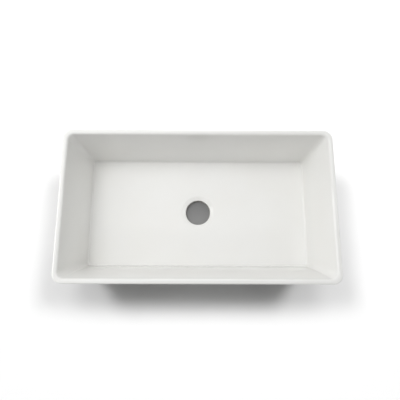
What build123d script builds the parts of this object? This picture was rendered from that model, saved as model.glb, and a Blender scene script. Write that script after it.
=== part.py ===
"""Undermount ceramic sink: one fired bowl, and the swing hangers that hold it under a worktop.

Millimetres, +Z up. The origin is on the base plane under the centre of the drain, and +X is the
long side. Each hanger is bolted to a cast pad on the outer wall and is shown parked, hanging down.
Swung half a turn about its bolt, its foot comes level with the rim and takes the worktop screw.
"""

import math
import os

from build123d import *

# Bowl, outside
length = 838.0
width = 465.0
height = 236.0
outer_corner_radius = 28.0
collar_height = 28.0
collar_bevel = 6.0
wall_thickness = 11.5
base_edge_round = 12.0

# Rim
rim_width = 14.0
rim_outer_round = 4.5
rim_inner_round = 6.0

# Bowl, inside
floor_height = 24.0
long_wall_lean = 29.0
short_wall_lean = 19.0
inner_corner_radius = 17.0
floor_round = 13.0

# Drain, at the bottom of a shallow dish in the floor
dish_diameter = 340.0
dish_fall = 0.012
recess_diameter = 116.0
recess_depth = 6.0
recess_lip_bevel = 2.0
drain_diameter = 89.0
drain_edge_bevel = 1.5
drain_underside_bevel = 1.0

# Underside
land_width = 34.0
seat_diameter = 134.0
relief_depth = 4.0
relief_corner_radius = 24.0

# Pads on the outer walls, where the hangers are bolted
pivot_drop = 105.0
hanger_pitch = 420.0
pad_inset = 6.0
pad_width = 44.0
pad_height = 50.0
pad_corner_bevel = 9.0
pad_root = 24.0
pad_taper = 12.0

# Bolts and inserts, M6
bolt_diameter = 6.0
bolt_length = 16.0
bolt_head_flats = 10.0
bolt_head_height = 4.0
bolt_head_bevel = 0.6
insert_flats = 9.0
insert_length = 10.0
insert_bond_gap = 0.15
insert_hole_spare = 1.2
thread_clearance = 0.1

# Washers
washer_clearance = 0.3
cushion_side = 26.0
cushion_thickness = 1.5
flat_washer_diameter = 16.0
flat_washer_thickness = 1.6

# Hanger strap
strap_width = 28.0
strap_thickness = 2.5
strap_bend_radius = 2.5
strap_head = 14.0
strap_head_bevel = 7.0
strap_neck = 17.0
arm_clearance = 1.5
foot_length = 13.0
foot_corner_bevel = 4.0
foot_hole_diameter = 5.0
pivot_hole_clearance = 0.3

# Sizes that follow from those above
inner_depth = height - floor_height
seat_height = floor_height - recess_depth
dish_foot = floor_height - dish_fall * (dish_diameter - recess_diameter) / 2
half_mouth_x = length / 2 - rim_width
half_mouth_y = width / 2 - rim_width
lean_growth = height / inner_depth
half_base_x = half_mouth_x + wall_thickness - short_wall_lean * lean_growth
half_base_y = half_mouth_y + wall_thickness - long_wall_lean * lean_growth
relief_length = 2 * (half_base_x - land_width)
relief_width = 2 * (half_base_y - land_width)

# The stack on each pad, measured outwards from the pad's face
strap_seat = cushion_thickness
washer_seat = strap_seat + strap_thickness
bolt_head_seat = washer_seat + flat_washer_thickness
arm_seat = pad_inset + arm_clearance
foot_tip = arm_seat + strap_thickness + foot_length


def pad_plane(outward_x, outward_y, along):
    """Plane on a pad's face: X along the wall, Y up, Z outwards, origin on the bolt's axis."""
    face_x = length / 2 - pad_inset
    face_y = width / 2 - pad_inset
    origin = (
        outward_x * face_x + abs(outward_y) * along,
        outward_y * face_y + abs(outward_x) * along,
        height - pivot_drop,
    )
    return Plane(origin=origin, x_dir=(-outward_y, outward_x, 0), z_dir=(outward_x, outward_y, 0))


pads = {
    "front_left": pad_plane(0, -1, -hanger_pitch / 2),
    "front_right": pad_plane(0, -1, hanger_pitch / 2),
    "right_end": pad_plane(1, 0, 0),
    "back_right": pad_plane(0, 1, hanger_pitch / 2),
    "back_left": pad_plane(0, 1, -hanger_pitch / 2),
    "left_end": pad_plane(-1, 0, 0),
}


def bowl_section(half_top, half_foot, foot):
    """Cross-section whose two walls lean in from the rim down to the foot."""
    with BuildSketch() as section:
        with BuildLine():
            Polyline(
                (half_top, height),
                (half_foot, foot),
                (-half_foot, foot),
                (-half_top, height),
                close=True,
            )
        make_face()
    return section.sketch


def upright_corner_edges(shell):
    """The four edges where a long wall meets a short wall."""
    return shell.edges().filter_by(lambda edge: edge.bounding_box().size.Z > height / 2)


def drain_circles(shell, diameter, level):
    """The circular edges of one diameter about the drain's axis at one height."""
    return shell.edges().filter_by(GeomType.CIRCLE).filter_by(
        lambda edge: abs(edge.radius - diameter / 2) < 0.01 and abs(edge.arc_center.Z - level) < 0.01
    )


def save(piece, name):
    """Label a finished piece and write its STEP file."""
    piece.part.label = name
    export_step(piece.part, f"parts/{name}.step")


os.makedirs("parts", exist_ok=True)

# The hollow of the bowl: two sections crossed, with rounded corners and a cove round the floor
with BuildPart() as hollow:
    with BuildSketch(Plane.YZ):
        add(bowl_section(half_mouth_y, half_mouth_y - long_wall_lean, floor_height))
    extrude(amount=length / 2, both=True)
    with BuildSketch(Plane.XZ):
        add(bowl_section(half_mouth_x, half_mouth_x - short_wall_lean, floor_height))
    extrude(amount=width / 2, both=True, mode=Mode.INTERSECT)
    fillet(upright_corner_edges(hollow), inner_corner_radius)
    fillet(hollow.edges().group_by(Axis.Z)[0], floor_round)

# The outside of the bowl below the rim, with the same lean as the hollow
with BuildPart() as body:
    with BuildSketch(Plane.YZ):
        add(bowl_section(half_mouth_y + wall_thickness, half_base_y, 0))
    extrude(amount=length / 2, both=True)
    with BuildSketch(Plane.XZ):
        add(bowl_section(half_mouth_x + wall_thickness, half_base_x, 0))
    extrude(amount=width / 2, both=True, mode=Mode.INTERSECT)
    fillet(upright_corner_edges(body), inner_corner_radius + wall_thickness)
    fillet(body.edges().group_by(Axis.Z)[0], base_edge_round)

# One cast pad, tapered so that it leaves the mould
pad_flare = 2 * pad_root * math.tan(math.radians(pad_taper))
with BuildPart() as pad:
    with BuildSketch(Plane.XY.offset(-pad_root)):
        corners = Rectangle(pad_width + pad_flare, pad_height + pad_flare).vertices()
        chamfer(corners, pad_corner_bevel)
    extrude(amount=pad_root, taper=pad_taper)

# The fired bowl, one piece
with BuildPart() as bowl:
    # Collar, walls and pads
    with BuildSketch(Plane.XY.offset(height - collar_height)):
        RectangleRounded(length, width, outer_corner_radius)
    extrude(amount=collar_height)
    chamfer(bowl.edges().group_by(Axis.Z)[0], collar_bevel)
    add(body.part)
    with Locations(*pads.values()):
        add(pad.part)
    add(hollow.part, mode=Mode.SUBTRACT)

    # Rim, rounded to both sides of a narrow flat that meets the worktop
    fillet(bowl.faces().sort_by(Axis.Z)[-1].inner_wires()[0].edges(), rim_inner_round)
    fillet(bowl.faces().sort_by(Axis.Z)[-1].outer_wire().edges(), rim_outer_round)

    # Dish, recess for the flange of the waste, and drain
    with BuildSketch(Plane.XZ):
        with BuildLine():
            Polyline(
                (0, floor_height),
                (dish_diameter / 2, floor_height),
                (recess_diameter / 2, dish_foot),
                (recess_diameter / 2, seat_height),
                (drain_diameter / 2, seat_height),
                (drain_diameter / 2, 0),
                (0, 0),
                close=True,
            )
        make_face()
    revolve(axis=Axis.Z, mode=Mode.SUBTRACT)
    chamfer(drain_circles(bowl, recess_diameter, dish_foot), recess_lip_bevel)
    chamfer(drain_circles(bowl, drain_diameter, seat_height), drain_edge_bevel)
    chamfer(drain_circles(bowl, drain_diameter, 0), drain_underside_bevel)

    # Underside, hollowed between the land it stands on and the ring that the waste seals against
    with BuildSketch():
        RectangleRounded(relief_length, relief_width, relief_corner_radius)
        Circle(seat_diameter / 2, mode=Mode.SUBTRACT)
    extrude(amount=relief_depth, mode=Mode.SUBTRACT)

    # Blind holes for the inserts, moulded to their hexagon so that they can't turn
    with BuildSketch(*pads.values()):
        RegularPolygon(insert_flats / 2 + insert_bond_gap, 6, major_radius=False)
    extrude(amount=-insert_length - insert_hole_spare, mode=Mode.SUBTRACT)
save(bowl, "bowl")

# Threaded insert, cut from hexagon bar and bonded flush in its hole
with BuildPart() as insert:
    with BuildSketch():
        RegularPolygon(insert_flats / 2, 6, major_radius=False)
        Circle(bolt_diameter / 2 + thread_clearance, mode=Mode.SUBTRACT)
    extrude(amount=-insert_length)

# Square cushion of sheet rubber between the pad and the strap
with BuildPart() as cushion:
    with BuildSketch():
        Rectangle(cushion_side, cushion_side)
        Circle(bolt_diameter / 2 + washer_clearance, mode=Mode.SUBTRACT)
    extrude(amount=cushion_thickness)

# Flat washer on the strap
with BuildPart() as flat_washer:
    with BuildSketch(Plane.XY.offset(washer_seat)):
        Circle(flat_washer_diameter / 2)
        Circle(bolt_diameter / 2 + washer_clearance, mode=Mode.SUBTRACT)
    extrude(amount=flat_washer_thickness)

# Hexagon bolt
with BuildPart() as bolt:
    with BuildSketch(Plane.XY.offset(bolt_head_seat)):
        RegularPolygon(bolt_head_flats / 2, 6, major_radius=False)
    extrude(amount=bolt_head_height)
    chamfer(bolt.edges().group_by(Axis.Z)[-1], bolt_head_bevel)
    with BuildSketch(Plane.XY.offset(bolt_head_seat)):
        Circle(bolt_diameter / 2)
    extrude(amount=-bolt_length)

# Hanger: a strap that steps out past the rim and turns out once more into its foot
with BuildPart() as hanger:
    outer_bend_radius = strap_bend_radius + strap_thickness
    with BuildSketch(Plane.YZ):
        with BuildLine():
            FilletPolyline(
                (strap_head, strap_seat),
                (-strap_neck, strap_seat),
                (-strap_neck - arm_seat + strap_seat, arm_seat),
                (-pivot_drop, arm_seat),
                (-pivot_drop, foot_tip),
                radius=[outer_bend_radius, strap_bend_radius, outer_bend_radius],
            )
            offset(amount=strap_thickness, side=Side.RIGHT)
        make_face()
    extrude(amount=strap_width / 2, both=True)
    chamfer(hanger.edges().filter_by(Axis.Z).group_by(Axis.Y)[-1], strap_head_bevel)
    chamfer(hanger.edges().filter_by(Axis.Y).group_by(Axis.Z)[-1], foot_corner_bevel)
    Hole(bolt_diameter / 2 + pivot_hole_clearance)
    foot_middle = arm_seat + strap_thickness + foot_length / 2
    with Locations(Plane(origin=(0, -pivot_drop, foot_middle), z_dir=(0, -1, 0))):
        Hole(foot_hole_diameter / 2, depth=strap_thickness)

# What repeats at every pad, one node for each kind of piece
repeated = {
    "threaded_inserts": insert,
    "cushion_pads": cushion,
    "flat_washers": flat_washer,
    "hanger_bolts": bolt,
}
for name, piece in repeated.items():
    with BuildPart() as group:
        with Locations(*pads.values()):
            add(piece.part)
    save(group, name)

# The hangers swing one by one, so each is a node of its own
for place, plane in pads.items():
    with BuildPart() as placed_hanger:
        with Locations(plane):
            add(hanger.part)
    save(placed_hanger, f"hanger_{place}")
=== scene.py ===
"""Undermount ceramic sink, dressed for the photograph: the fired bowl, its hangers and their fixings.

Metres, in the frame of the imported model: +Z up, the origin on the base plane under the drain, +X
along the bowl. The bowl is drawn ring by ring, from its widest outline inwards and downwards.
"""

from collections.abc import Callable, Iterable, Sequence
from dataclasses import dataclass, field
from enum import Enum
import logging
from math import atan, copysign, cos, hypot, pi, radians, sin, tan

import bmesh
import bpy
from bpy.types import Material, Node, NodeSocket, Object
from mathutils import Matrix, Vector


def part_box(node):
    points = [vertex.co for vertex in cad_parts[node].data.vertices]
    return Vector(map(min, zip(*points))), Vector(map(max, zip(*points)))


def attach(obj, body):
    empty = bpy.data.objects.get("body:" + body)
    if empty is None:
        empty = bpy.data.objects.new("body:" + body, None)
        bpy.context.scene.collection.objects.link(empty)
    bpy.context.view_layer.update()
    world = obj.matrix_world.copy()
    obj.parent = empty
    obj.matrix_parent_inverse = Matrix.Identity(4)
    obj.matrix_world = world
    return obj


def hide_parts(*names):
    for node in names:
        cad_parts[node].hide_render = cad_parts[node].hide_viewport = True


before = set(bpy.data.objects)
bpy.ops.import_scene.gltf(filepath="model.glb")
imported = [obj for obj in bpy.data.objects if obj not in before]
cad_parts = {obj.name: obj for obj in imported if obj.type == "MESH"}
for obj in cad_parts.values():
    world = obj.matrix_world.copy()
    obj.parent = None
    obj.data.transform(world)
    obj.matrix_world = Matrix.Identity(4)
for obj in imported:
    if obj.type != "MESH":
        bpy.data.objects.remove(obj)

log = logging.getLogger("sink")

NEAR = 1e-5  # metres apart, below which two points are one
OVERRUN = 0.001  # how far a cutter stands out of what it cuts
QUARTER = radians(90)
HANGER_PITCH = 0.21  # from the middle of a long wall to each of its two hangers
PAD_INSET = 0.006  # from the outer face of the rim in to the face of a pad

Pair = tuple[float, float]
Triple = tuple[float, float, float]


class Direction(Enum):
    """Which way a rounded sheet faces, and so which way its skin is drawn."""

    UP = 1
    DOWN = -1


@dataclass(frozen=True)
class Ring:
    """One level line of the bowl: a rectangle with rounded corners."""

    half_x: float
    half_y: float
    level: float
    corner: float

    def inside(self, run: float, level: float) -> "Ring":
        """Return the outline that lies so far inside this one, at another level."""
        return Ring(self.half_x - run, self.half_y - run, level, self.corner - run)


def turns(steps: int, first: int = 0, start: float = 0.0, end: float = QUARTER) -> Iterable[Pair]:
    """Yield the sine and the cosine at each step of a turn.

    Args:
        steps: How many steps the turn has.
        first: Step to begin with.
        start: Angle at step 0, in radians.
        end: Angle at the last step.
    """
    for step in range(first, steps + 1):
        turn = start + (end - start) * step / steps
        yield sin(turn), cos(turn)


def foot_rings(foot: Ring, radius: float, lean: float, steps: int, first: int = 0) -> Iterable[Ring]:
    """Yield the rings of the round between leaning walls and the level under them.

    Args:
        foot: Outline where the round leaves the walls, set at the level under them.
        radius: Radius of the round.
        lean: How far the walls lean, in radians.
        steps: How many steps the round has.
        first: Step to begin with.
    """
    for sine, cosine in turns(steps, first, start=lean):
        yield foot.inside(radius * (cos(lean) - cosine), foot.level + radius * (1 - sine))


def deselect_all() -> None:
    """Leave no object selected, so that an operator acts only on what is chosen next."""
    if bpy.context.object and bpy.context.object.mode != "OBJECT":
        bpy.ops.object.mode_set(mode="OBJECT")
    bpy.ops.object.select_all(action="DESELECT")


def activate(piece: Object) -> None:
    """Select one object alone and make it the active one."""
    deselect_all()
    piece.select_set(True)
    bpy.context.view_layer.objects.active = piece


def open_mesh(piece: Object) -> bmesh.types.BMesh:
    """Return the mesh that is being edited, ready to be read."""
    mesh = bmesh.from_edit_mesh(piece.data)
    mesh.verts.index_update()
    return mesh


def pick(piece: Object, kind: str, wanted: Callable[..., bool]) -> None:
    """Select in edit mode the vertices, edges or faces that pass a test, and nothing else.

    Args:
        piece: The object that is being edited.
        kind: "verts", "edges" or "faces".
        wanted: Test on one vertex, edge or face.
    """
    modes = {"verts": "VERT", "edges": "EDGE", "faces": "FACE"}
    bpy.ops.mesh.select_mode(type=modes[kind])
    bpy.ops.mesh.select_all(action="DESELECT")
    mesh = open_mesh(piece)
    for item in [item for item in getattr(mesh, kind) if wanted(item)]:
        item.select_set(True)
    mesh.select_flush_mode()
    bmesh.update_edit_mesh(piece.data)


def modify(piece: Object, kind: str, **settings: object) -> None:
    """Add one modifier to a piece, set it and apply it."""
    step = piece.modifiers.new(kind, kind)
    for name, value in settings.items():
        setattr(step, name, value)
    activate(piece)
    bpy.ops.object.modifier_apply(modifier=step.name)


class Cut(Enum):
    """How one closed piece is worked with another."""

    AWAY = "DIFFERENCE"
    ONTO = "UNION"
    WITHIN = "INTERSECT"


def work_with(piece: Object, tool: Object, cut: Cut) -> None:
    """Cut, join or trim a closed piece with a closed tool, and throw the tool away."""
    modify(piece, "BOOLEAN", operation=cut.value, solver="EXACT", object=tool)
    bpy.data.objects.remove(tool)


def soften_edges(piece: Object, width: float, segments: int = 2, degrees: float = 40) -> None:
    """Round every edge of a piece that is sharper than an angle a little."""
    limit = radians(degrees)
    modify(piece, "BEVEL", width=width, segments=segments, limit_method="ANGLE", angle_limit=limit)


def smooth_by_angle(piece: Object, degrees: float = 35) -> None:
    """Shade a piece smooth except at edges sharper than an angle, with its flats kept flat."""
    activate(piece)
    bpy.ops.object.shade_smooth_by_angle(angle=radians(degrees))
    modify(piece, "WEIGHTED_NORMAL", keep_sharp=True, weight=50)


def fix_place(piece: Object) -> None:
    """Move a piece's place, turn and size into its mesh."""
    activate(piece)
    bpy.ops.object.transform_apply(location=True, rotation=True, scale=True)


def edit(piece: Object) -> None:
    """Open one piece alone in edit mode, with nothing in it selected."""
    activate(piece)
    bpy.ops.object.mode_set(mode="EDIT")
    bpy.ops.mesh.select_all(action="DESELECT")


def round_edges(piece: Object, wanted: Callable[..., bool], radius: float, segments: int = 4) -> None:
    """Round those edges of one piece that pass a test."""
    edit(piece)
    pick(piece, "edges", wanted)
    bpy.ops.mesh.bevel(offset=radius, segments=segments, affect="EDGES")
    bpy.ops.object.mode_set(mode="OBJECT")


def close_skin(piece: Object) -> None:
    """Merge the doubles of the piece that is being edited, face it outwards and leave edit mode."""
    bpy.ops.mesh.select_all(action="SELECT")
    bpy.ops.mesh.remove_doubles(threshold=NEAR)
    bpy.ops.mesh.normals_make_consistent(inside=False)
    bpy.ops.object.mode_set(mode="OBJECT")


def add_object(name: str, data: bpy.types.ID) -> Object:
    """Add one object to the scene."""
    made = bpy.data.objects.new(name, data)
    bpy.context.scene.collection.objects.link(made)
    return made


def copy_at(model: Object, place: Matrix, name: str) -> Object:
    """Copy a model, with a mesh of its own, to one place."""
    made = add_object(name, model.data.copy())
    made.data.name = name
    made.matrix_world = place
    fix_place(made)
    return made


def copy_to_all(model: Object, places: Iterable[Matrix], name: str) -> Object:
    """Copy a model to every place, join the copies in one piece and throw the model away.

    Args:
        model: The piece to copy.
        places: Where each copy goes.
        name: Name of the joined piece.

    Returns:
        The joined piece.
    """
    copies = [copy_at(model, place, name) for place in places]
    activate(copies[0])
    for made in copies[1:]:
        made.select_set(True)
    bpy.ops.object.join()
    bpy.data.objects.remove(model)
    return copies[0]


def turn_ring(profile: Sequence[Pair]) -> None:
    """Draw the selected ring of edges on through a turned profile of radii and levels."""
    for (radius, level), (next_radius, next_level) in zip(profile, profile[1:]):
        bpy.ops.mesh.extrude_region()
        scale = next_radius / radius
        bpy.ops.transform.resize(value=(scale, scale, 1), center_override=(0, 0, level))
        bpy.ops.transform.translate(value=(0, 0, next_level - level))


def turned(name: str, profile: Sequence[Pair], segments: int) -> Object:
    """Turn a closed piece about the Z axis.

    Args:
        name: Name of the piece.
        profile: Radii and levels. Where its ends differ, both are closed by a flat face.
        segments: Faces around.

    Returns:
        The turned piece, facing outwards.
    """
    deselect_all()
    radius, level = profile[0]
    bpy.ops.mesh.primitive_circle_add(vertices=segments, radius=radius, location=(0, 0, level))
    piece = bpy.context.object
    piece.name = name
    fix_place(piece)
    bpy.ops.object.mode_set(mode="EDIT")
    bpy.ops.mesh.select_mode(type="EDGE")
    bpy.ops.mesh.select_all(action="SELECT")
    turn_ring(profile)
    if profile[0] != profile[-1]:
        for end in (profile[0], profile[-1]):
            level = end[1]
            pick(piece, "edges", lambda e: len(e.link_faces) < 2 and abs(e.verts[0].co.z - level) < NEAR)
            bpy.ops.mesh.edge_face_add()
    close_skin(piece)
    return piece


def prism(name: str, flats: float, low: float, high: float, sides: int = 6) -> Object:
    """Make an upright prism about the Z axis, with two of its flats facing along Y."""
    deselect_all()
    bpy.ops.mesh.primitive_cylinder_add(
        vertices=sides,
        radius=flats / 2 / cos(pi / sides),
        depth=high - low,
        location=(0, 0, (low + high) / 2),
        rotation=(0, 0, pi / sides),
    )
    piece = bpy.context.object
    piece.name = name
    fix_place(piece)
    return piece


def round_upright_edges(piece: Object, radius: float) -> None:
    """Round the upright edges of a prism."""
    round_edges(piece, lambda e: abs(e.verts[0].co.z - e.verts[1].co.z) > NEAR, radius)


@dataclass(frozen=True)
class Pad:
    """One of the bowl's cast pads, where a hanger is bolted on."""

    name: str
    outward: tuple[int, int]
    along: float

    def frame(self, reach: Pair, level: float) -> Matrix:
        """Return the place of the pad's face: X along the wall, Y up, Z outwards.

        Args:
            reach: How far the end pads and the side pads stand from the middle.
            level: Height of the bolt.

        Returns:
            The matrix from the pad to the bowl.
        """
        out_x, out_y = self.outward
        place = (
            out_x * reach[0] + abs(out_y) * self.along,
            out_y * reach[1] + abs(out_x) * self.along,
            level,
        )
        axes = Matrix(((-out_y, 0, out_x), (out_x, 0, out_y), (0, 1, 0)))
        return Matrix.Translation(place) @ axes.to_4x4()


PADS = (
    Pad("front_left", (0, -1), -HANGER_PITCH),
    Pad("front_right", (0, -1), HANGER_PITCH),
    Pad("right_end", (1, 0), 0),
    Pad("back_right", (0, 1), HANGER_PITCH),
    Pad("back_left", (0, 1), -HANGER_PITCH),
    Pad("left_end", (-1, 0), 0),
)


def pad_places() -> dict[str, Matrix]:
    """Return the place of each pad's face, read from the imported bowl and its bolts."""
    low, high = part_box("bowl")
    bolt_low, bolt_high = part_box("hanger_bolts")
    reach = (high.x - PAD_INSET, high.y - PAD_INSET)
    return {pad.name: pad.frame(reach, (bolt_low.z + bolt_high.z) / 2) for pad in PADS}


class RingSkin:
    """A skin drawn ring by ring from a rounded sheet, the way it is modelled by hand."""

    def __init__(self, piece: Object, start: Ring, facing: Direction, segments: int) -> None:
        """Add a rounded sheet to the mesh that is being edited.

        Args:
            piece: The object in edit mode.
            start: Outline of the sheet.
            facing: Side that the sheet faces.
            segments: Edges in each rounded corner.
        """
        self.piece = piece
        self.at = start
        bpy.ops.mesh.select_mode(type="VERT")
        bpy.ops.mesh.select_all(action="DESELECT")
        bpy.ops.mesh.primitive_plane_add(size=2, location=(0, 0, start.level))
        bpy.ops.transform.resize(
            value=(start.half_x, start.half_y, 1), center_override=(0, 0, start.level)
        )
        bpy.ops.mesh.bevel(offset=start.corner, segments=segments, affect="VERTICES")
        pick(piece, "faces", self._is_cap)
        if facing is Direction.DOWN:
            bpy.ops.mesh.flip_normals()

    def _is_cap(self, face: bmesh.types.BMFace) -> bool:
        """Tell whether a face is the flat sheet inside the last ring."""
        if any(abs(vert.co.z - self.at.level) > NEAR for vert in face.verts):
            return False
        reach_x = max(vert.co.x for vert in face.verts)
        reach_y = max(vert.co.y for vert in face.verts)
        return abs(reach_x - self.at.half_x) < NEAR and abs(reach_y - self.at.half_y) < NEAR

    def draw(self, rings: Iterable[Ring]) -> None:
        """Carry the skin on through more rings, each one inside the last or level with it."""
        for ring in rings:
            offset = max(self.at.corner - ring.corner, 0.0)
            bpy.ops.mesh.inset(thickness=offset, depth=0, use_even_offset=True)
            bpy.ops.transform.translate(value=(0, 0, ring.level - self.at.level))
            self._squeeze((self.at.half_x - offset - ring.half_x, self.at.half_y - offset - ring.half_y))
            self.at = Ring(ring.half_x, ring.half_y, ring.level, self.at.corner - offset)

    def _squeeze(self, runs: Pair) -> None:
        """Move the four sides of the selected cap inwards, and leave its corners' shape alone."""
        cap = {vert.index for vert in open_mesh(self.piece).verts if vert.select}
        for axis, run in enumerate(runs):
            for side in (1, -1):
                shift = [0.0, 0.0, 0.0]
                shift[axis] = -side * run
                pick(self.piece, "verts", lambda v: v.index in cap and v.co[axis] * side > 0)
                bpy.ops.transform.translate(value=shift)
        pick(self.piece, "faces", lambda f: {vert.index for vert in f.verts} == cap)

    def open_cap(self) -> Ring:
        """Delete the cap and keep its edges, ready for a bridge."""
        bpy.ops.mesh.delete(type="ONLY_FACE")
        return self.at


@dataclass
class GlazedBowl:
    """The fired bowl: rim, walls, floor, recess, drain, underside and cast pads, in one piece."""

    rim_width: float = 0.014
    rim_outer_round: float = 0.0045
    rim_inner_round: float = 0.0075
    outer_corner: float = 0.028
    mouth_corner: float = 0.020
    foot_corner: float = 0.014
    wall: float = 0.0115
    collar_height: float = 0.028
    collar_round: float = 0.006
    floor_level: float = 0.024
    long_wall_lean: float = 0.029
    short_wall_lean: float = 0.019
    long_wall_bow: float = 0.0055
    short_wall_bow: float = 0.003
    floor_round: float = 0.0065
    base_round: float = 0.012
    dish_radius: float = 0.170
    dish_fall: float = 0.00134
    lip_radius: float = 0.055
    lip_round: float = 0.007
    seat_level: float = 0.018
    drain_radius: float = 0.0445
    drain_round: float = 0.0015
    drain_under_round: float = 0.001
    drain_steps: int = 6
    land_width: float = 0.034
    relief_depth: float = 0.004
    relief_corner: float = 0.024
    gasket_radius: float = 0.067
    pad_face: Pair = (0.044, 0.050)
    pad_corner: float = 0.009
    pad_root: float = 0.017
    pad_taper: float = 12.0
    pad_round: float = 0.002
    pad_root_round: float = 0.003
    pad_root_angle: float = 25.0
    pad_root_reach: Pair = (0.032, 0.034)
    pad_root_band: Pair = (-0.018, -0.003)
    insert_flats: float = 0.0093
    insert_depth: float = 0.0112
    corner_segments: int = 16
    long_side_cuts: int = 23
    short_side_cuts: int = 15
    wall_steps: int = 14
    smooth_angle: float = 40
    piece: Object = field(init=False)

    def __post_init__(self) -> None:
        """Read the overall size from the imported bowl."""
        low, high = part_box("bowl")
        self.half_x = high.x
        self.half_y = high.y
        self.height = high.z
        self.mouth_x = self.half_x - self.rim_width
        self.mouth_y = self.half_y - self.rim_width
        self.depth = self.height - self.floor_level
        self.around = 4 * self.corner_segments + 2 * (self.long_side_cuts + self.short_side_cuts + 2)

    def build(self) -> Object:
        """Model the bowl as one closed skin.

        Returns:
            The finished object, riding on the body of the sink.
        """
        deselect_all()
        bpy.ops.mesh.primitive_circle_add(
            vertices=self.around, radius=self.lip_radius + self.lip_round, location=(0, 0, 0)
        )
        self.piece = bpy.context.object
        self.piece.name = "glazed_bowl"
        self.piece.data.name = "glazed_bowl"
        bpy.ops.object.mode_set(mode="EDIT")
        bpy.ops.transform.translate(value=(0, 0, self.floor_level))
        self._dish_floor(self._draw_inside())
        self._turn_drain()
        self._draw_outside()
        self._close_underside()
        close_skin(self.piece)
        self._cast_pads()
        self._mould_insert_holes()
        smooth_by_angle(self.piece, self.smooth_angle)
        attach(self.piece, "sink")
        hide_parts("bowl")
        return self.piece

    def _inner_half(self, level: float) -> Pair:
        """Return how far the bowed inner walls stand from the middle at one level."""
        down = (self.height - level) / self.depth
        belly = 4 * down * (1 - down)
        return (
            self.mouth_x - self.short_wall_lean * down - self.short_wall_bow * belly,
            self.mouth_y - self.long_wall_lean * down - self.long_wall_bow * belly,
        )

    def _outer_half(self, level: float) -> Pair:
        """Return how far the straight outer walls stand from the middle at one level."""
        down = (self.height - level) / self.depth
        return (
            self.mouth_x + self.wall - self.short_wall_lean * down,
            self.mouth_y + self.wall - self.long_wall_lean * down,
        )

    def _turn_drain(self) -> None:
        """Turn the recess, the drain and the ring under it, from the floor's edge down and round."""
        floor = self.floor_level - self.dish_fall
        lip, soft = self.lip_radius, self.lip_round
        bore, edge, seat = self.drain_radius, self.drain_round, self.seat_level
        ring, under = self.gasket_radius, self.drain_under_round
        slope = atan((floor - seat) / (lip - bore - edge + soft / 2))
        rise = sin(slope)
        profile = [(lip + soft, floor)]
        for sine, cosine in turns(self.drain_steps, 1, end=slope):
            profile.append((lip + soft * (1 - sine / rise), floor - soft * (1 - cosine) / rise))
        for sine, cosine in turns(self.drain_steps):
            profile.append((bore + edge * (1 - sine), seat - edge * (1 - cosine)))
        for sine, cosine in turns(self.drain_steps):
            profile.append((bore + under * (1 - cosine), under * (1 - sine)))
        profile.append((ring - under, 0))
        for sine, cosine in turns(self.drain_steps, 1):
            profile.append((ring - under * (1 - sine), under * (1 - cosine)))
        profile.append((ring, self.relief_depth))
        self._pick_open(lambda v: hypot(v.co.x, v.co.y) < lip + soft + NEAR)
        turn_ring(profile)

    def _draw_inside(self) -> Ring:
        """Draw the rim, the inner walls and the cove, from the widest outline to the floor."""
        top = self.height
        start = Ring(self.half_x, self.half_y, top - self.rim_outer_round, self.outer_corner)
        skin = RingSkin(self.piece, start, Direction.UP, self.corner_segments)
        skin.draw(self._outer_rim_rings(start))
        skin.draw(self._inner_rim_rings())
        skin.draw(self._wall_rings(skin.at.level))
        skin.draw(self._cove_rings())
        return skin.open_cap()

    def _outer_rim_rings(self, start: Ring, steps: int = 6) -> Iterable[Ring]:
        """Yield the rings of the rim's outer round."""
        for sine, cosine in turns(steps, 1):
            run = self.rim_outer_round * (1 - cosine)
            yield start.inside(run, start.level + self.rim_outer_round * sine)

    def _inner_rim_rings(self, steps: int = 8, degrees: float = 80) -> Iterable[Ring]:
        """Yield the rings of the rim's inner round, which ends on the leaning wall."""
        radius, end = self.rim_inner_round, radians(degrees)
        level = self.height - radius * (1 - cos(end))
        foot = Ring(*self._inner_half(level), level, self.mouth_corner)
        reach = radius * sin(end)
        for sine, cosine in turns(steps, end=end):
            yield foot.inside(radius * sine - reach, self.height - radius * (1 - cosine))

    def _wall_rings(self, start: float) -> Iterable[Ring]:
        """Yield the rings of the bowed inner walls, down to the start of the cove."""
        end = self.floor_level + self.floor_round * (1 - sin(self._foot_lean()))
        for step in range(1, self.wall_steps + 1):
            share = step / self.wall_steps
            level = start + (end - start) * share
            corner = self.mouth_corner + (self.foot_corner - self.mouth_corner) * share
            yield Ring(*self._inner_half(level), level, corner)

    def _foot_lean(self) -> float:
        """Return how far the inner walls lean where the cove starts, the mean of both pairs."""
        long_wall = self.long_wall_lean - 4 * self.long_wall_bow
        short_wall = self.short_wall_lean - 4 * self.short_wall_bow
        return atan((long_wall + short_wall) / 2 / self.depth)

    def _cove_rings(self, steps: int = 9) -> Iterable[Ring]:
        """Return the rings of the cove between the walls and the floor."""
        lean, radius, floor = self._foot_lean(), self.floor_round, self.floor_level
        half = self._inner_half(floor + radius * (1 - sin(lean)))
        return foot_rings(Ring(*half, floor, self.foot_corner), radius, lean, steps, first=1)

    def _pick_open(self, wanted: Callable[[bmesh.types.BMVert], bool]) -> None:
        """Select the open edges whose two ends pass a test."""
        pick(self.piece, "edges", lambda e: len(e.link_faces) < 2 and all(map(wanted, e.verts)))

    def _dish_floor(self, floor: Ring, cuts: int = 15) -> None:
        """Join the cove to the recess by a floor that falls smoothly to it."""
        self._divide_sides(floor)
        self._pick_open(lambda v: abs(v.co.z - self.floor_level) < NEAR)
        bpy.ops.mesh.bridge_edge_loops(number_cuts=cuts, interpolation="LINEAR")
        self._pick_open(lambda v: hypot(v.co.x, v.co.y) < self.dish_radius)
        bpy.ops.transform.translate(
            value=(0, 0, -self.dish_fall),
            use_proportional_edit=True,
            proportional_edit_falloff="SMOOTH",
            proportional_size=self.dish_radius - self.lip_radius,
        )

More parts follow.
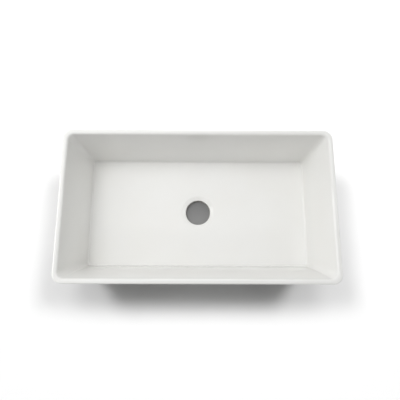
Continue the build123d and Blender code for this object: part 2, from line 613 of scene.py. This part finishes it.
    def _divide_sides(self, ring: Ring) -> None:
        """Divide the four straight sides of an open ring, to match the circle it will be joined to."""
        for axis, cuts in ((1, self.long_side_cuts), (0, self.short_side_cuts)):
            half = (ring.half_x, ring.half_y)[axis]
            self._pick_open(
                lambda v: abs(v.co.z - ring.level) < NEAR and abs(abs(v.co[axis]) - half) < NEAR
            )
            bpy.ops.mesh.subdivide(number_cuts=cuts)

    def _draw_outside(self) -> None:
        """Draw the collar, the outer walls and the base, from the widest outline to the land."""
        start = Ring(self.half_x, self.half_y, self.height - self.rim_outer_round, self.outer_corner)
        skin = RingSkin(self.piece, start, Direction.DOWN, self.corner_segments)
        skin.draw(self._collar_rings())
        skin.draw(self._base_rings())
        skin.open_cap()

    def _collar_rings(self, steps: int = 6) -> Iterable[Ring]:
        """Yield the rings of the collar, whose lower edge rounds in to the wall."""
        foot = self.height - self.collar_height
        wall_x, wall_y = self._outer_half(foot)
        run_x, run_y = self.half_x - wall_x, self.half_y - wall_y
        for sine, cosine in turns(steps):
            level = foot + self.collar_round * (1 - sine)
            half_x, half_y = self.half_x - run_x * (1 - cosine), self.half_y - run_y * (1 - cosine)
            yield Ring(half_x, half_y, level, self.outer_corner)

    def _base_rings(self, steps: int = 6) -> Iterable[Ring]:
        """Return the rings of the round between the outer walls and the base."""
        lean = atan((self.long_wall_lean + self.short_wall_lean) / 2 / self.depth)
        half = self._outer_half(self.base_round * (1 - sin(lean)))
        return foot_rings(Ring(*half, 0, self.outer_corner), self.base_round, lean, steps)

    def _close_underside(self) -> None:
        """Join the land to the relief, and the relief to the ring round the drain."""
        base_x, base_y = self._outer_half(0)
        start = Ring(base_x - self.land_width, base_y - self.land_width, 0, self.relief_corner)
        skin = RingSkin(self.piece, start, Direction.DOWN, self.corner_segments)
        skin.draw([start.inside(0, self.relief_depth)])
        relief = skin.open_cap()
        self._pick_open(lambda v: abs(v.co.z) < NEAR)
        bpy.ops.mesh.bridge_edge_loops()
        self._divide_sides(relief)
        self._pick_open(lambda v: abs(v.co.z - self.relief_depth) < NEAR)
        bpy.ops.mesh.bridge_edge_loops()

    def _cast_pads(self, corner_segments: int = 8, steps: int = 4) -> None:
        """Join the six tapered pads to the outer walls, and fill in round their roots."""
        flare = self.pad_root * tan(radians(self.pad_taper))
        face = Ring(self.pad_face[0] / 2, self.pad_face[1] / 2, 0, self.pad_corner)
        pad = add_object("pad", bpy.data.meshes.new("pad"))
        edit(pad)
        skin = RingSkin(pad, face.inside(-flare, -self.pad_root), Direction.UP, corner_segments)
        for sine, cosine in turns(steps):
            skin.draw([face.inside(self.pad_round * (1 - cosine), -self.pad_round * (1 - sine))])
        pick(pad, "edges", lambda e: len(e.link_faces) < 2)
        bpy.ops.mesh.edge_face_add()
        close_skin(pad)
        places = pad_places().values()
        work_with(self.piece, copy_to_all(pad, places, "pads"), Cut.ONTO)
        round_edges(self.piece, lambda e: self._is_pad_root(e, places), self.pad_root_round)

    def _is_pad_root(self, edge: bmesh.types.BMEdge, places: Iterable[Matrix]) -> bool:
        """Tell whether an edge is where a pad meets the wall."""
        if len(edge.link_faces) != 2 or edge.calc_face_angle() < radians(self.pad_root_angle):
            return False
        reach_x, reach_y = self.pad_root_reach
        deep, shallow = self.pad_root_band
        for place in places:
            ends = [place.inverted() @ vert.co for vert in edge.verts]
            if all(abs(end.x) < reach_x and abs(end.y) < reach_y for end in ends):
                return all(deep < end.z < shallow for end in ends)
        return False

    def _mould_insert_holes(self) -> None:
        """Sink the six blind hexagonal holes that the threaded inserts are bonded in."""
        hole = prism("hole", self.insert_flats, -self.insert_depth, OVERRUN)
        work_with(self.piece, copy_to_all(hole, pad_places().values(), "holes"), Cut.AWAY)


@dataclass
class Hanger:
    """A zinc-plated strap, pressed out past the rim and turned out once more into its foot.

    It is drawn on its pad: X along the wall, Y up, Z outwards, the bolt's axis at the origin.
    """

    width: float = 0.028
    thickness: float = 0.0025
    seat: float = 0.0015
    head: float = 0.014
    head_round: float = 0.0085
    neck: float = 0.017
    arm: float = 0.0075
    drop: float = 0.105
    foot: float = 0.023
    foot_round: float = 0.004
    slant: float = 45
    bend: float = 0.0025
    bend_step: float = 10
    bolt_hole: float = 0.0066
    foot_hole: float = 0.005
    edge_break: float = 0.0003

    def build(self) -> list[Object]:
        """Press one strap and copy it to all six pads, each on a body of its own.

        Returns:
            The six hangers.
        """
        model = self._press()
        self._round_corners(model)
        self._punch(model)
        soften_edges(model, self.edge_break)
        hangers = []
        for station, place in pad_places().items():
            hanger = copy_at(model, place, f"strap_{station}")
            smooth_by_angle(hanger)
            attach(hanger, f"hanger_{station}")
            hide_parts(f"hanger_{station}")
            hangers.append(hanger)
        bpy.data.objects.remove(model)
        return hangers

    def _press(self) -> Object:
        """Draw the strap from its head to its foot, bend by bend."""
        deselect_all()
        bpy.ops.mesh.primitive_plane_add(
            size=1,
            location=(0, self.head, self.seat + self.thickness / 2),
            rotation=(radians(90), 0, 0),
        )
        model = bpy.context.object
        model.name = "strap"
        model.scale = (self.width, self.thickness, 1)
        fix_place(model)
        edit(model)
        pick(model, "faces", lambda f: True)
        wide = self.bend + self.thickness
        step = self.arm - self.seat
        half_turn = tan(radians(self.slant / 2))
        self.at, self.heading = Vector((0, self.head, self.seat)), 0.0
        self._run(self.head + self.neck - wide * half_turn)
        self._turn(self.slant, wide)
        self._run(step / sin(radians(self.slant)) - (wide + self.bend) * half_turn)
        self._turn(-self.slant, self.bend)
        self._run(self.drop - self.neck - step - self.bend * half_turn - wide)
        self._turn(90, wide)
        self._run(self.foot - self.arm - wide)
        close_skin(model)
        return model

    def _ahead(self) -> Vector:
        """Return the way the strap is being drawn."""
        turn = radians(self.heading)
        return Vector((0, -cos(turn), sin(turn)))

    def _run(self, length: float) -> None:
        """Draw the strap's cut end straight on."""
        bpy.ops.mesh.extrude_region()
        bpy.ops.transform.translate(value=self._ahead() * length)
        self.at = self.at + self._ahead() * length

    def _turn(self, degrees: float, radius: float) -> None:
        """Bend the strap about X, outwards where the angle is positive, its near side at a radius."""
        ahead = self._ahead()
        out = Vector((0, ahead.z, -ahead.y)) * copysign(radius, degrees)
        centre = self.at + out
        steps = round(abs(degrees) / self.bend_step)
        bpy.ops.mesh.spin(steps=steps, angle=radians(degrees), center=centre, axis=(1, 0, 0))
        self.at = centre - Matrix.Rotation(radians(-degrees), 3, "X") @ out
        self.heading += degrees

    def _round_corners(self, model: Object, segments: int = 8) -> None:
        """Round the two corners of the head and the two of the foot."""
        ends = ((1, self.head, self.head_round), (2, self.foot, self.foot_round))
        for axis, end, radius in ends:
            round_edges(
                model,
                lambda e: abs(e.verts[0].co.x - e.verts[1].co.x) < NEAR
                and all(abs(vert.co[axis] - end) < NEAR for vert in e.verts),
                radius,
                segments,
            )

    def _punch(self, model: Object) -> None:
        """Punch the hole for the bolt and the hole for the worktop screw."""
        work_with(model, prism("bolt_hole", self.bolt_hole, 0, 2 * self.arm, sides=40), Cut.AWAY)
        deep = 2 * self.thickness
        screw_hole = prism("screw_hole", self.foot_hole, -deep, deep, sides=32)
        screw_hole.rotation_euler.x = radians(90)
        screw_hole.location = (0, -self.drop, (self.arm + self.thickness + self.foot) / 2)
        fix_place(screw_hole)
        work_with(model, screw_hole, Cut.AWAY)


@dataclass
class Fixings:
    """What holds each hanger to its pad: cushion, flat washer and hexagon bolt."""

    cushion_side: float = 0.026
    cushion_thickness: float = 0.0015
    cushion_corner: float = 0.0012
    cushion_swell: float = 0.0004
    washer_seat: float = 0.004
    washer_diameter: float = 0.016
    washer_thickness: float = 0.0016
    washer_round: float = 0.0003
    washer_break: float = 0.0001
    hole_diameter: float = 0.0066
    head_seat: float = 0.0056
    head_flats: float = 0.010
    head_height: float = 0.004
    head_corner: float = 0.0003
    head_chamfer: float = 30
    head_flat: float = 0.94
    dish_rim: float = 0.0011
    dish_depth: float = 0.00025
    bolt_diameter: float = 0.006
    bolt_length: float = 0.016
    pitch: float = 0.001
    thread_start: float = 0.0016

    def build(self) -> list[Object]:
        """Make one of each, and copy it to the six pads.

        Returns:
            The cushions, the washers and the bolts, each kind in one piece.
        """
        kinds = (
            (self._cushion(), "rubber_cushions", "cushion_pads", "rubber"),
            (self._washer(), "plated_washers", "flat_washers", "zinc_plate"),
            (self._bolt(), "hexagon_bolts", "hanger_bolts", "zinc_plate"),
        )
        made = []
        for model, name, node, finish in kinds:
            piece = copy_to_all(model, pad_places().values(), name)
            smooth_by_angle(piece)
            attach(piece, "sink")
            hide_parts(node)
            made.append(piece)
        return made

    def _cushion(self) -> Object:
        """Cut the square rubber cushion, its edges swollen a little by the bolt's load."""
        piece = prism("cushion", self.cushion_side, 0, self.cushion_thickness, sides=4)
        round_upright_edges(piece, self.cushion_corner)
        hole = prism("hole", self.hole_diameter, -OVERRUN, 2 * self.cushion_thickness, sides=40)
        work_with(piece, hole, Cut.AWAY)
        soften_edges(piece, self.cushion_swell, segments=3)
        return piece

    def _washer(self) -> Object:
        """Turn the flat washer, rounded where the punch entered and square where it left."""
        bore, rim = self.hole_diameter / 2, self.washer_diameter / 2
        low, high = self.washer_seat, self.washer_seat + self.washer_thickness
        soft, crisp = self.washer_round, self.washer_break
        middle = 0.3 * soft
        profile = [
            (bore, low + crisp),
            (bore + crisp, low),
            (rim - crisp, low),
            (rim, low + crisp),
            (rim, high - soft),
            (rim - middle, high - middle),
            (rim - soft, high),
            (bore + soft, high),
            (bore + middle, high - middle),
            (bore, high - soft),
            (bore, low + crisp),
        ]
        return turned("washer", profile, segments=48)

    def _bolt(self) -> Object:
        """Forge the hexagon head, chamfered and dished, on a threaded shank."""
        top = self.head_seat + self.head_height
        head = prism("bolt", self.head_flats, self.head_seat, top)
        round_upright_edges(head, self.head_corner)
        flat = self.head_flats / 2 * self.head_flat
        wide = flat + self.head_height / tan(radians(self.head_chamfer))
        cone = [(wide, self.head_seat - OVERRUN), (wide, top - self.head_height), (flat, top)]
        work_with(head, turned("chamfer", cone, segments=48), Cut.WITHIN)
        edit(head)
        pick(head, "faces", lambda f: f.normal.z > 0.99 and abs(f.calc_center_median().z - top) < NEAR)
        bpy.ops.mesh.inset(thickness=self.dish_rim, depth=0)
        bpy.ops.transform.translate(value=(0, 0, -self.dish_depth))
        bpy.ops.object.mode_set(mode="OBJECT")
        work_with(head, turned("shank", self._thread(), segments=20), Cut.ONTO)
        return head

    def _thread(self) -> list[Pair]:
        """Return the turned profile of the threaded shank, from inside the head to the tip."""
        crest = self.bolt_diameter / 2
        root = crest - 0.55 * self.pitch
        level = self.head_seat - self.thread_start
        tip = self.head_seat - self.bolt_length
        groove = ((root, 0.45), (root, 0.55), (crest, 0.94), (crest, 1))
        profile = [(crest, self.head_seat + self.pitch / 2), (crest, level)]
        while level > tip + 1.6 * self.pitch:
            profile.extend((radius, level - share * self.pitch) for radius, share in groove)
            level -= self.pitch
        profile.append((root, tip))
        return profile


class Finish:
    """A procedural finish: one material whose pattern follows the piece's own coordinates."""

    def material(self) -> Material:
        """Make the finish.

        Returns:
            The node material.
        """
        made = bpy.data.materials.new(type(self).__name__.lower())
        made.use_nodes = True
        self.tree = made.node_tree
        self.shader = self.tree.nodes["Principled BSDF"]
        self.place = self.tree.nodes.new("ShaderNodeTexCoord").outputs["Object"]
        self.dress()
        return made

    def dress(self) -> None:
        """Set the shader and join the patterns to it."""
        raise NotImplementedError

    def node(self, kind: str, feeds: dict, values: dict, **choices: str) -> Node:
        """Add one shader node.

        Args:
            kind: Its type.
            feeds: The source of each input that is joined.
            values: What each other input is set to.
            choices: Its settings.

        Returns:
            The node.
        """
        made = self.tree.nodes.new(f"ShaderNode{kind}")
        for name, choice in choices.items():
            setattr(made, name, choice)
        for name, value in values.items():
            made.inputs[name].default_value = value
        for name, source in feeds.items():
            self.tree.links.new(source, made.inputs[name])
        return made

    def join(self, source: NodeSocket, name: str) -> None:
        """Join a pattern to one socket of the shader."""
        self.tree.links.new(source, self.shader.inputs[name])

    def stretched(self, scale: Triple) -> NodeSocket:
        """Return the piece's coordinates, scaled apart on each axis."""
        return self.node("Mapping", {"Vector": self.place}, {"Scale": scale}).outputs["Vector"]

    def noise(self, scale: float, detail: float = 2.0, vector: NodeSocket | None = None) -> NodeSocket:
        """Return a cloudy pattern.

        Args:
            scale: Clouds in each metre.
            detail: Octaves of finer clouds.
            vector: Coordinates, where they aren't the piece's own.

        Returns:
            The pattern, from 0 to 1.
        """
        feeds = {"Vector": vector or self.place}
        return self.node("TexNoise", feeds, {"Scale": scale, "Detail": detail}).outputs["Fac"]

    def ramp(self, source: NodeSocket, stops: Sequence[tuple[float, Sequence[float]]]) -> NodeSocket:
        """Return colours for a pattern.

        Args:
            source: The pattern.
            stops: Each value of the pattern and its colour.

        Returns:
            The colour.
        """
        node = self.node("ValToRGB", {"Fac": source}, {})
        band = node.color_ramp
        while len(band.elements) < len(stops):
            band.elements.new(0.5)
        for element, (value, colour) in zip(band.elements, stops):
            element.position = value
            element.color = (*colour, 1)
        return node.outputs["Color"]

    def ranged(self, source: NodeSocket, over: Pair, onto: Pair, kind: str = "LINEAR") -> NodeSocket:
        """Return a pattern whose values over one range are laid onto another."""
        ends = zip(("From Min", "From Max", "To Min", "To Max"), (*over, *onto))
        node = self.node("MapRange", {"Value": source}, dict(ends), interpolation_type=kind)
        return node.outputs["Result"]

    def spread(self, source: NodeSocket, low: float, high: float) -> NodeSocket:
        """Return a cloudy pattern, which mostly keeps to its middle values, spread over a range."""
        return self.ranged(source, (0.3, 0.7), (low, high))

    def blend(
        self,
        share: NodeSocket,
        first: NodeSocket,
        second: NodeSocket,
        kind: str = "FLOAT",
    ) -> NodeSocket:
        """Return a mix of two patterns, the second where the share is 1."""
        node = self.node("Mix", {}, {}, data_type=kind)
        inputs = [socket for socket in node.inputs if socket.enabled]
        for socket, source in zip(inputs, (share, first, second)):
            self.tree.links.new(source, socket)
        return next(socket for socket in node.outputs if socket.enabled)

    def bump(self, height: NodeSocket, distance: float, strength: float = 1.0) -> None:
        """Raise the surface by a pattern, so many metres from its lowest to its highest."""
        node = self.node("Bump", {"Height": height}, {"Distance": distance, "Strength": strength})
        self.join(node.outputs["Normal"], "Normal")


@dataclass(frozen=True)
class WhiteGlaze:
    """Colours and sheen of the glaze, and of the bare clay that the bowl stands on in the kiln."""

    thick: Triple = (0.905, 0.904, 0.886)
    thin: Triple = (0.896, 0.893, 0.870)
    clay: Triple = (0.68, 0.63, 0.54)
    burnt_clay: Triple = (0.60, 0.545, 0.45)
    gloss: float = 0.045
    ior: float = 1.6
    glaze_line: float = 0.0052
    line_wander: float = 0.0016
    line_blur: float = 0.0003


@dataclass
class GlazedClay(Finish):
    """White gloss glaze that stops in a soft uneven line above the bare fired foot."""

    look: WhiteGlaze = WhiteGlaze()

    def dress(self) -> None:
        """Pool the glaze in slow waves, and leave the foot bare."""
        look = self.look
        tint = self.ramp(self.noise(7.0), [(0.35, look.thin), (0.65, look.thick)])
        clay = self.ramp(self.noise(90.0, 9.0), [(0.35, look.burnt_clay), (0.62, look.clay)])
        bare = self._bare()
        self.join(self.blend(bare, tint, clay, "RGBA"), "Base Color")
        sheen = self.spread(self.noise(14.0), look.gloss, look.gloss + 0.02)
        matt = self.spread(self.noise(300.0), 0.78, 0.92)
        self.join(self.blend(bare, sheen, matt), "Roughness")
        self.shader.inputs["IOR"].default_value = look.ior
        wave = self.spread(self.noise(11.0, 1.0), 0.0, 1.0)
        grain = self.spread(self.noise(900.0, 4.0), 0.2, 1.0)
        self.bump(self.blend(bare, wave, grain), 0.00012)

    def _bare(self) -> NodeSocket:
        """Return 1 on the bare foot and 0 on the glaze, with a line that wanders between them."""
        line, blur = self.look.glaze_line, self.look.line_blur
        height = self.node("SeparateXYZ", {"Vector": self.place}, {}).outputs["Z"]
        feeds = {0: self.noise(45.0, 3.0), 2: height}
        wander = self.node("Math", feeds, {1: self.look.line_wander}, operation="MULTIPLY_ADD")
        return self.ranged(wander.outputs["Value"], (line - blur, line + blur), (1, 0), "SMOOTHSTEP")


@dataclass(frozen=True)
class Metal:
    """Colours and polish of a metal."""

    dark: Triple
    light: Triple
    smooth: float
    rough: float
    grain: Triple


ZINC = Metal((0.50, 0.51, 0.50), (0.68, 0.68, 0.66), 0.26, 0.44, (1, 1, 0.12))
BRASS = Metal((0.66, 0.47, 0.20), (0.83, 0.64, 0.31), 0.22, 0.36, (1, 1, 1))


@dataclass
class MetalFinish(Finish):
    """A plated or drawn metal: a fine grain, and clouds where the passivation took unevenly."""

    metal: Metal

    def dress(self) -> None:
        """Cloud the plating and draw its grain."""
        metal = self.metal
        clouds = self.noise(90.0, 3.0)
        grain = self.noise(1800.0, 2.0, self.stretched(metal.grain))
        self.join(self.ramp(clouds, [(0.32, metal.dark), (0.66, metal.light)]), "Base Color")
        self.join(self.spread(grain, metal.smooth, metal.rough), "Roughness")
        self.shader.inputs["Metallic"].default_value = 1.0
        self.bump(grain, 0.00002, 0.6)


class BlackRubber(Finish):
    """Moulded black rubber with a grey bloom."""

    def dress(self) -> None:
        """Dust the rubber with bloom and give it a fine moulded grain."""
        bloom = self.noise(240.0, 4.0)
        blacks = [(0.4, (0.016, 0.016, 0.017)), (0.7, (0.05, 0.05, 0.052))]
        self.join(self.ramp(bloom, blacks), "Base Color")
        self.join(self.spread(bloom, 0.55, 0.8), "Roughness")
        self.bump(self.noise(1500.0, 3.0), 0.00004)


class PaleFloor(Finish):
    """Plain white paper."""

    def dress(self) -> None:
        """Keep it plain and matt."""
        self.shader.inputs["Base Color"].default_value = (0.8, 0.8, 0.8, 1)
        self.shader.inputs["Roughness"].default_value = 0.9


class DrainShadeCard(Finish):
    """Grey card laid under the drain: painted shade that stands in for the shadow inside the hole, so
    that the hole reads dark.
    """

    half: float = 0.044
    # painted shade: darker at the back of the hole, lighter at its front
    back: Triple = (0.195, 0.195, 0.195)
    front: Triple = (0.300, 0.300, 0.300)

    def dress(self) -> None:
        """Paint shade across it, darker at the back of the hole and lighter at its front, standing in
        for the shadow of the bore's back edge.
        """
        across = self.node("SeparateXYZ", {"Vector": self.place}, {}).outputs["Y"]
        span = self.ranged(across, (self.half, -self.half), (0, 1))
        self.join(self.ramp(span, [(0.0, self.back), (1.0, self.front)]), "Base Color")
        self.shader.inputs["Roughness"].default_value = 0.9


class Lights(Enum):
    """What a lamp shines on."""

    BOWL = "EXCLUDE"
    FLOOR = "INCLUDE"


@dataclass(frozen=True)
class Softbox:
    """One square soft lamp that faces the middle of the bowl."""

    azimuth: float
    zenith: float
    power: float
    distance: float = 2.6
    side: float = 1.1
    seen: bool = True
    lights: Lights = Lights.BOWL


BOWL_LAMPS = (
    Softbox(-45, 20, 20.6, seen=False),
    Softbox(-90, 20, 9.7, seen=False),
    Softbox(-90, 46, 8.2),
    Softbox(-90, 75, 13.2),
    Softbox(-135, 46, 1.9),
    Softbox(0, 75, 9.1),
    Softbox(90, 60, 5.3),
    Softbox(90, 46, 3.7),
    Softbox(135, 46, 2.3),
)

FLOOR_LAMPS = (
    (0, 24, 410.0, 15.1),
    (0, 31, 120.0, 16.0),
    (27, 34, 198.0, 16.6),
    (63, 34, 394.0, 16.6),
    (53, 37, 1120.0, 17.2),
    (102, 43, 73.0, 18.7),
)


def floor_softboxes(side: float = 4.0) -> Iterable[Softbox]:
    """Yield the far lamps that light the floor alone, those off the middle as left and right pairs."""
    for azimuth, zenith, power, distance in FLOOR_LAMPS:
        for turn in (-azimuth, azimuth) if azimuth else (0,):
            yield Softbox(turn, zenith, power, distance, side, seen=False, lights=Lights.FLOOR)


@dataclass
class Studio:
    """Plain pale floor, soft lights and the photograph's camera."""

    room: float = 0.12
    floor_side: float = 12
    card_radius: float = 0.0438
    card_level: float = 0.0005
    overhead_size: Pair = (5.0, 3.0)
    overhead_power: float = 18.6
    overhead_place: Triple = (0, 1.63, 2.5)
    camera_place: Triple = (0.0012, -0.148, 1.2053)
    camera_pitch: float = 78.96
    camera_roll: float = 1.71
    camera_yaw: float = -1.49
    focal_pixels: float = 328.2
    frame_pixels: float = 400
    principal_row: float = 190.1
    sensor: float = 36

    def build(self) -> None:
        """Set the floor, the lights and the camera."""
        self._lay_floor()
        self._lay_card()
        self._light_room()
        for number, softbox in enumerate((*BOWL_LAMPS, *floor_softboxes())):
            self._hang(f"softbox_{number}", softbox)
        self._hang_overhead_card()
        self._place_camera()

    def _lay_floor(self) -> None:
        """Lay a wide plain floor under the bowl."""
        deselect_all()
        bpy.ops.mesh.primitive_plane_add(size=self.floor_side, location=(0, 0, 0))
        self.floor = bpy.context.object
        self.floor.name = "floor"
        self.floor.data.materials.append(PaleFloor().material())

    def _lay_card(self) -> None:
        """Lay a round grey card on the floor inside the drain, as painted shade for the hole."""
        deselect_all()
        bpy.ops.mesh.primitive_circle_add(
            vertices=96, radius=self.card_radius, fill_type="NGON", location=(0, 0, self.card_level)
        )
        card = bpy.context.object
        # painted shade: the card stands in for the shadow seen through the drain
        card.name = "drain_shade_card"
        card.data.materials.append(DrainShadeCard().material())

    def _light_room(self) -> None:
        """Fill the room with a faint even light."""
        world = bpy.data.worlds.new("white_room")
        world.use_nodes = True
        light = world.node_tree.nodes["Background"].inputs
        light["Color"].default_value = (1, 1, 1, 1)
        light["Strength"].default_value = self.room
        bpy.context.scene.world = world

    @staticmethod
    def _lamp(name: str, size: Pair, power: float) -> Object:
        """Make one rectangular lamp."""
        lamp = bpy.data.lights.new(name, "AREA")
        lamp.shape = "RECTANGLE"
        lamp.size, lamp.size_y = size
        lamp.energy = power
        return add_object(name, lamp)

    def _hang(self, name: str, softbox: Softbox) -> None:
        """Hang one softbox."""
        azimuth, zenith = radians(softbox.azimuth), radians(softbox.zenith)
        out = sin(zenith)
        way = Vector((sin(azimuth) * out, cos(azimuth) * out, cos(zenith)))
        place = softbox.distance * way
        holder = self._lamp(name, (softbox.side, softbox.side), softbox.power)
        holder.location = place
        holder.rotation_euler = (-place).to_track_quat("-Z", "Y").to_euler()
        holder.visible_glossy = softbox.seen
        self._aim(holder, softbox.lights)

    def _aim(self, holder: Object, lights: Lights) -> None:
        """Keep a lamp's light on the floor, or off it."""
        lit = bpy.data.collections.new(f"{holder.name}_lights")
        lit.objects.link(self.floor)
        lit.collection_objects[0].light_linking.link_state = lights.value
        holder.light_linking.receiver_collection = lit

    def _hang_overhead_card(self) -> None:
        """Hang the wide dim card whose near edge shows in the glaze."""
        holder = self._lamp("overhead_card", self.overhead_size, self.overhead_power)
        holder.location = self.overhead_place
        self._aim(holder, Lights.BOWL)

    def _place_camera(self) -> None:
        """Put the camera where the photograph was taken from."""
        lens = bpy.data.cameras.new("camera")
        lens.sensor_width = self.sensor
        lens.lens = lens.sensor_width * self.focal_pixels / self.frame_pixels
        lens.shift_y = (self.principal_row - self.frame_pixels / 2) / self.frame_pixels
        camera = add_object("camera", lens)
        turn = (
            Matrix.Rotation(radians(self.camera_yaw), 4, "Z")
            @ Matrix.Rotation(radians(90 - self.camera_pitch), 4, "X")
            @ Matrix.Rotation(radians(self.camera_roll), 4, "Z")
        )
        camera.matrix_world = Matrix.Translation(self.camera_place) @ turn
        bpy.context.scene.camera = camera


def dress(piece: Object, finish: Material) -> None:
    """Give a piece one finish and report it."""
    piece.data.materials.clear()
    piece.data.materials.append(finish)
    log.info("%s: %d faces, %s", piece.name, len(piece.data.polygons), finish.name)


def main() -> None:
    """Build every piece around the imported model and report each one."""
    logging.basicConfig(level=logging.INFO, format="%(name)s: %(message)s")
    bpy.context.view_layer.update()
    glaze = GlazedClay().material()
    zinc, brass = MetalFinish(ZINC).material(), MetalFinish(BRASS).material()
    rubber = BlackRubber().material()
    dress(GlazedBowl().build(), glaze)
    for strap in Hanger().build():
        dress(strap, zinc)
    for piece, finish in zip(Fixings().build(), (rubber, zinc, zinc)):
        dress(piece, finish)
    dress(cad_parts["threaded_inserts"], brass)
    Studio().build()
    bpy.context.scene.view_settings.view_transform = "Standard"


if __name__ == "__main__":
    main()
